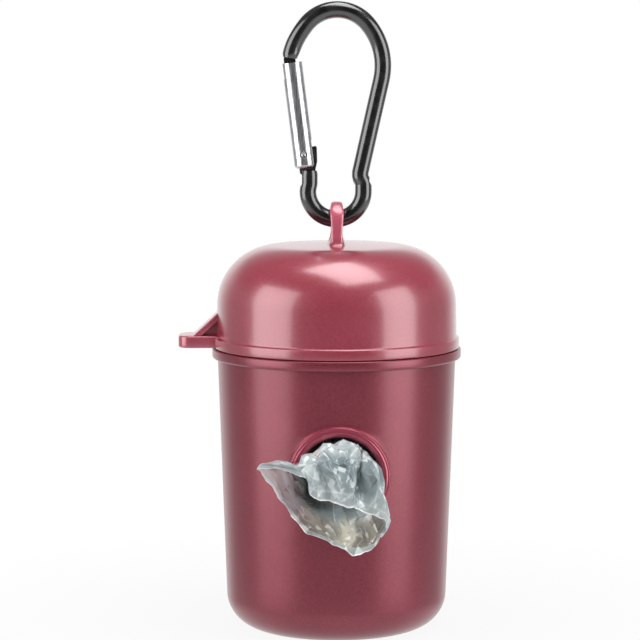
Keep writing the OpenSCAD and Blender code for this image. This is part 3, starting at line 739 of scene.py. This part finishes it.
# painted light: the thin tab and eye are painted paler than the dome, for the light that comes through them
height = add(tree, "SeparateXYZ", {"Vector": place}).outputs["Z"]
level = add(tree, "VectorMath", {0: place, 1: (1.0, 1.0, 0.0)}, operation="MULTIPLY")
radius = add(tree, "VectorMath", {0: level}, operation="LENGTH")
on_eye = add(tree, "MapRange", {"Value": height, "From Min": 72.6 * MM, "From Max": 74.0 * MM})
on_tab = add(tree, "MapRange", {
    "Value": radius, "From Min": 23.2 * MM, "From Max": 24.2 * MM, "To Max": 0.5,
})
thin_part_painted_light = add(tree, "Math", {0: on_eye, 1: on_tab}, operation="MAXIMUM")
ripple = add(tree, "TexNoise", {"Vector": place, "Scale": every(3.85), "Detail": 1.0})
bump = add(tree, "Bump", {"Height": ripple, "Strength": 0.06, "Distance": 0.2 * MM})
plug(shader, {
    "Base Color": add(tree, "Mix", {0: thin_part_painted_light, 6: pearl, 7: "#c65a70"}, data_type="RGBA"),
    "Roughness": add(tree, "ValToRGB", {"Fac": flakes}, stops=((0.3, 0.28), (0.7, 0.36))),
    "Normal": bump, "Coat Normal": bump, "Coat Weight": 1.0, "Coat Roughness": 0.16,
})
lid = dome.piece("lid_dome", lid_mat)
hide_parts("lid")
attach(lid, "lid")

# ------------------------------------------------------------------ Carabiner
# A bent aluminium rod, anodised glossy black; its ends are milled flat for the gate.
# Cold forming leaves a step in the leg and in the neck above the small bend.
ROD_R, TOP_R, SIDE_R = 1.58, 7.4, 12
BEND, BEND_R, TOP = (-0.18, 82.2147), 5.19, (0.1, 108.565)
LEFT, RIGHT = (3.6, 105.58), (-3.4, 105.58)
RIVET, LEAN = (-6.2, 89.1147), math.radians(7.18477)
NOSE_ANGLE, LEG_LEAN, GATE_LENGTH = 172.988, 12.33, 17.1862
LEG_STEPS, ROUND_STEPS = 14, 28
# the side bends run into the top one where their centres line up
side_angle = math.degrees(math.asin((SIDE_R - 8.5) / (SIDE_R - TOP_R)))

# the rod's centre line in (x, z) points, from the nose round to the hinge
path = arc(LEFT, SIDE_R, NOSE_ANGLE, 90 + side_angle, 12)
path += arc(TOP, TOP_R, 90 + side_angle, 90 - side_angle, 40)[1:]
path += arc(RIGHT, SIDE_R, 90 - side_angle, -LEG_LEAN, 14)[1:]
leg_top, leg_low = np.array(path[-1]), np.array([4.41, 85.7])
path += [tuple(leg_top + (leg_low - leg_top) * i / LEG_STEPS) for i in range(1, LEG_STEPS + 1)]
path += [(4.41, 85.1), (4.5, 84.7), (4.66, 84.35), (4.84, 84.05), (4.97, 83.75), (5.01, 83.3), (5.01, 82.7)]
path += arc(BEND, BEND_R, 0, -180, 44)
path += [(-5.3, 82.8), (-5.18, 83.3), (-5.1, 83.8), (-5.1, 84.6), (-5.1, 85.4), (-5.1, 86.1147)]
path = np.array(path)
# the nose is set out a little at its end
NOSE_POINTS, NOSE_SET = 12, 0.32
path[:NOSE_POINTS, 0] -= NOSE_SET * np.cos(np.linspace(0, math.pi / 2, NOSE_POINTS)) ** 2
ahead = np.gradient(path, axis=0)
ahead /= np.linalg.norm(ahead, axis=1, keepdims=True)
# three places are cut or pressed flat: inside the nose, the neck's outer face, and the leg's step
NOSE_FLAT, FLAT_AT, FLAT_DEPTH = math.radians(28), (-6.73, 107.045), 0.55
NECK_FACE, LEG_FACE = -6.5, 6.12
rod = Shell()
rings = []
for i, (at, way) in enumerate(zip(path, ahead)):
    side = np.array([-way[1], way[0]])
    radius = ROD_R * (0.9 if i in (0, len(path) - 1) else 1.0)
    ring = []
    for k in range(ROUND_STEPS):
        turn = 2 * math.pi * k / ROUND_STEPS
        point = at + side * radius * math.cos(turn)
        off_x, off_z = point[0] - FLAT_AT[0], point[1] - FLAT_AT[1]
        proud = off_x * math.cos(NOSE_FLAT) - off_z * math.sin(NOSE_FLAT) + FLAT_DEPTH
        along = off_x * math.sin(NOSE_FLAT) + off_z * math.cos(NOSE_FLAT)
        if proud > 0 and -3 < along < 4 and point[0] < -4:
            point = point - proud * np.array([math.cos(NOSE_FLAT), -math.sin(NOSE_FLAT)])
        if 83.5 < point[1] < 87:
            point[0] = max(point[0], NECK_FACE)
        if 83.9 < point[1] < 84.6:
            point[0] = min(point[0], LEG_FACE)
        ring.append((point[0], radius * math.sin(turn), point[1]))
    rings.append(ring)
rod.loft(rings, caps=True)


def in_gate(u, v, w):
    """A point of the closed gate's own frame: u across, v along the gate, w towards +Y."""
    return (
        RIVET[0] + u * math.cos(LEAN) - v * math.sin(LEAN), w,
        RIVET[1] + u * math.sin(LEAN) + v * math.cos(LEAN),
    )


# flat tongues at the rod's two ends reach into the gate's slots
hinge_tongue = [(0.9, -4.3), (1.8, -3.3), (2.4, -1.6), (2.62, 0.8)] + arc((2.32, 1.0), 0.3, 10, 90, 4)
hinge_tongue += arc((0, 0), 1.1, 90, 180, 6) + [(-1.1, -3.4), (-0.4, -4.3)]
nose_tongue = [
    (0.75, GATE_LENGTH - 2.6), (0.75, GATE_LENGTH + 1.5), (-1.2, GATE_LENGTH + 1.5),
    (-1.45, GATE_LENGTH + 0.9), (-1.5, GATE_LENGTH - 2.6),
]
for tongue in (hinge_tongue, nose_tongue):
    slab(rod, tongue, -0.6, 0.6, 0.08, in_gate)

# black anodised aluminium: the dyed oxide skin is hard, smooth and shiny, and hides the metal,
# so it has the oxide's IOR and no metallic. It is a little greyer in worn patches 2.2 mm across.
black, tree, shader, place = start_material("black_anodised_aluminium", 0.0, 0.16, 1.77)
wear = add(tree, "TexNoise", {"Vector": place, "Scale": every(2.22), "Detail": 1.0, "Roughness": 0.5})
plug(shader, {
    "Base Color": add(tree, "ValToRGB", {"Fac": wear}, stops=((0.45, "#0b0a0a"), (0.75, "#232222"))),
    "Roughness": add(tree, "ValToRGB", {"Fac": wear}, stops=((0.35, 0.22), (0.75, 0.28))),
    "Normal": add(tree, "Bump", {"Height": wear, "Strength": 0.04, "Distance": 0.06 * MM}),
    "Coat Weight": 1.0, "Coat Roughness": 0.12,
})
carabiner = rod.piece("carabiner_rod", black)
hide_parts("carabiner_frame")
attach(carabiner, "carabiner")

# ------------------------------------------------------------------ Gate
# A slotted tube of bare aluminium, drawn and tumbled bright, with a rounded lower end.
# It has its CAD node's own faces, shaded round and widened a little about the tube's axis.
STOUTER = 1.12
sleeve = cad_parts["carabiner_gate"].data.copy()
lengthwise = Vector((-math.sin(LEAN), 0, math.cos(LEAN)))
hinge_at = Vector((RIVET[0], 0, RIVET[1])) * MM
for vert in sleeve.vertices:
    on_axis = hinge_at + lengthwise * (vert.co - hinge_at).dot(lengthwise)
    vert.co = on_axis + (vert.co - on_axis) * STOUTER
sleeve.shade_smooth()
sleeve.set_sharp_from_angle(angle=math.radians(32))

# bare drawn aluminium: bright, and brushed by the die, whose marks run along it.
# The marks are drawn 0.17 mm apart and 4 mm long; the real ones are finer and wouldn't show.
bare, tree, shader, place = start_material("bare_drawn_aluminium", 1.0, 0.22)
stretch = add(tree, "Mapping", {"Vector": place, "Rotation": (0.0, LEAN, 0.0), "Scale": (1.0, 1.0, 0.04)})
lines = add(tree, "TexNoise", {"Vector": stretch, "Scale": every(1 / 6), "Detail": 3.0})
plug(shader, {
    "Base Color": add(tree, "ValToRGB", {"Fac": lines}, stops=((0.3, "#b9bcbf"), (0.7, "#e2e4e6"))),
    "Roughness": add(tree, "ValToRGB", {"Fac": lines}, stops=((0.3, 0.24), (0.7, 0.34))),
    "Normal": add(tree, "Bump", {"Height": lines, "Strength": 0.1, "Distance": 0.05 * MM}),
})
sleeve.materials.clear()
sleeve.materials.append(bare)
gate = placed("gate_sleeve", sleeve)
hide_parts("carabiner_gate")
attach(gate, "gate")

# ------------------------------------------------------------------ Gate rivet
# A plated steel pin through the gate and the hinge tongue.
# Its heads are spun over cold, which leaves a dimple in each.
head = [
    (0.05, -1.92), (0.22, -1.95), (0.38, -2.06), (0.52, -2.11), (0.66, -2.08), (0.72, -1.98), (0.7, -1.78),
    (0.58, -1.5),
]
angles = np.linspace(0, 2 * math.pi, 32, endpoint=False)
pin = Shell()
pin.loft(
    [
        [(RIVET[0] + r * math.cos(t), y, RIVET[1] + r * math.sin(t)) for t in angles]
        for r, y in head + [(r, -y) for r, y in reversed(head)]
    ],
    caps=True,
)

# plated steel: a bright, even grey, dulled in specks where the spinning tool pressed it;
# the specks are 0.2 mm, about as fine as can show
steel, tree, shader, place = start_material("plated_steel_pin", 1.0, 0.25)
marks = add(tree, "TexNoise", {"Vector": place, "Scale": every(0.2), "Detail": 4.0})
plug(shader, {
    "Base Color": add(tree, "ValToRGB", {"Fac": marks}, stops=((0.3, "#a5a6a8"), (0.7, "#cfd0d1"))),
    "Roughness": add(tree, "ValToRGB", {"Fac": marks}, stops=((0.3, 0.2), (0.7, 0.34))),
})
rivet = pin.piece("gate_rivet_pin", steel)
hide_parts("gate_rivet")
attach(rivet, "gate")

# ------------------------------------------------------------------ Gate plunger
# A turned steel button inside the gate, between the tongue's corner and the spring.
# It slides in the gate's bore; its CAD node is shown.

# turned steel: grey, with the lathe tool's rings 0.2 mm apart
turned_steel, tree, shader, place = start_material("turned_steel", 1.0, 0.3)
tool = add(tree, "TexWave", {
    "Vector": place, "Scale": every(0.21) * WAVE, "Distortion": 0.4,
}, bands_direction="Z").outputs["Fac"]
plug(shader, {
    "Base Color": add(tree, "ValToRGB", {"Fac": tool}, stops=((0.2, "#9d9fa1"), (0.8, "#bfc1c3"))),
    "Normal": add(tree, "Bump", {"Height": tool, "Strength": 0.1, "Distance": 0.03 * MM}),
})
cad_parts["gate_plunger"].material_slots[0].material = turned_steel

# ------------------------------------------------------------------ Gate spring
# Hard drawn steel wire, coiled nine turns inside the gate's bore between plunger and end.
# The plunger shortens it as the gate opens.
WIRE_R, COIL_R, COIL_LOW, COIL_TOP, TURNS = 0.15, 0.95, 4.3, 10.83, 9
TURN_STEPS, WIRE_STEPS = 24, 10
coil = Shell()
rings = []
for i in range(TURNS * TURN_STEPS + 1):
    turn = 2 * math.pi * i / TURN_STEPS
    rise = COIL_LOW + (COIL_TOP - COIL_LOW) * i / (TURNS * TURN_STEPS)
    ring = []
    for k in range(WIRE_STEPS):
        spin = 2 * math.pi * k / WIRE_STEPS
        out = COIL_R + WIRE_R * math.cos(spin)
        ring.append(in_gate(out * math.cos(turn), rise + WIRE_R * math.sin(spin), out * math.sin(turn)))
    rings.append(ring)
coil.loft(rings, caps=True)

# spring wire: dark grey steel, mottled by the heat that set it, in spots 0.25 mm across
wire, tree, shader, place = start_material("spring_wire", 1.0, 0.32)
heat = add(tree, "TexNoise", {"Vector": place, "Scale": every(0.25), "Detail": 3.0})
tint = add(tree, "ValToRGB", {"Fac": heat}, stops=((0.3, "#7f8183"), (0.7, "#a8aaac")))
plug(shader, {"Base Color": tint})
spring = coil.piece("gate_spring_coil", wire, sharp=60)
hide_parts("gate_spring")
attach(spring, "gate")
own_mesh(spring)

# ------------------------------------------------------------------ Floor and light
# A white paper sweep, two tall softboxes at the sides, a softer one overhead, and a long
# lens. None of them is part of the object.
HALF_SWEEP = 4000
floor = Shell()
floor.loft([[(-HALF_SWEEP, y, 0), (HALF_SWEEP, y, 0)] for y in (-HALF_SWEEP, HALF_SWEEP)], closed=False)

# white paper: matt. Near the object it takes a faint shadow, and further out it runs into
# the white backdrop; only the camera sees that white, so that it adds no light
white, tree, shader, place = start_material("white_paper", 0.0, 0.9)
plug(shader, {"Base Color": "#adadad"})
glow = add(tree, "Emission", {"Color": "#ffffff", "Strength": 1.0})
distance = add(tree, "VectorMath", {0: place}, operation="LENGTH")
far = add(tree, "MapRange", {
    "Value": distance, "From Min": 30 * MM, "From Max": 100 * MM, "To Min": 0.92, "To Max": 1.0,
})
to_camera = add(tree, "LightPath").outputs["Is Camera Ray"]
share = add(tree, "Math", {0: to_camera, 1: far}, operation="MULTIPLY")
lit = add(tree, "MixShader", {0: share, 1: shader, 2: glow})
plug(tree.nodes["Material Output"], {"Surface": lit})
paper = floor.piece("floor", white)
# the gloss sees past the paper to the lamps and the backdrop, as it would on a clear stand
paper.visible_glossy = False

# the world: white to the camera; to gloss, a white backdrop behind the object, a darker
# room in front and overhead, and white below; and to matt surfaces a soft fill from above
world = bpy.data.worlds.new("studio")
bpy.context.scene.world = world
world.use_nodes = True
tree = world.node_tree
rays = add(tree, "LightPath")
camera_ray, glossy_ray = rays.outputs["Is Camera Ray"], rays.outputs["Is Glossy Ray"]
parts = add(tree, "SeparateXYZ", {"Vector": add(tree, "TexCoord").outputs["Generated"]})
back, up = parts.outputs["Y"], parts.outputs["Z"]
depth = add(tree, "MapRange", {"Value": back, "From Min": -1.0})
room = add(tree, "ValToRGB", {"Fac": depth}, stops=((0.33, 0.07), (0.5, 0.3), (0.8, 0.34), (0.94, 1.0)))
overhead = add(tree, "MapRange", {
    "Value": up, "From Min": 0.28, "From Max": 0.44, "To Min": 1.0, "To Max": 0.42,
})
below = add(tree, "MapRange", {"Value": up, "From Min": -0.12, "From Max": -0.4, "To Max": 0.95})
around = add(tree, "Math", {0: room, 1: overhead}, operation="MULTIPLY")
around = add(tree, "Math", {0: around, 1: below}, operation="MAXIMUM")
seen = add(tree, "Math", {0: camera_ray, 1: around}, operation="MAXIMUM")
looked = add(tree, "Math", {0: camera_ray, 1: glossy_ray}, operation="MAXIMUM")
fill = add(tree, "MapRange", {"Value": up, "From Min": -1.0, "To Min": 0.17, "To Max": 0.4})
level = add(tree, "Mix", {0: looked, 2: fill, 3: seen}, data_type="FLOAT")
plug(tree.nodes["Background"], {"Color": "#ffffff", "Strength": level})


def softbox(name, azimuth, elevation, width, height, power, distance=0.9):
    """An area lamp that faces the middle of the object; its sizes are in metres, its power in watts."""
    lamp = bpy.data.lights.new(name, "AREA")
    lamp.shape, lamp.size, lamp.size_y, lamp.energy = "RECTANGLE", width, height, power
    obj = placed(name, lamp)
    a, e = math.radians(azimuth), math.radians(elevation)
    out = Vector((math.sin(a) * math.cos(e), -math.cos(a) * math.cos(e), math.sin(e)))
    obj.location = Vector((0, 0, 0.05)) + out * distance
    obj.rotation_euler = (-out).to_track_quat("-Z", "Y").to_euler()


softbox("left_softbox", -66, 12, 0.72, 0.9, 6.5)
softbox("right_softbox", 61, 12, 0.6, 0.9, 5.6)
softbox("top_softbox", 38, 79, 0.55, 0.8, 6.6)

LOOK_DOWN, TURN_RIGHT = 6.28, 1.042
lens = bpy.data.cameras.new("camera")
lens.lens, lens.sensor_width = 150.47, 36.0
lens.clip_start, lens.clip_end = 0.01, 20.0
camera = placed("camera", lens)
camera.location = (-0.0122, -0.49985, 0.113)
camera.rotation_euler = (math.radians(90 - LOOK_DOWN), 0, math.radians(-TURN_RIGHT))
bpy.context.scene.camera = camera

bpy.context.scene.view_settings.view_transform = "Standard"
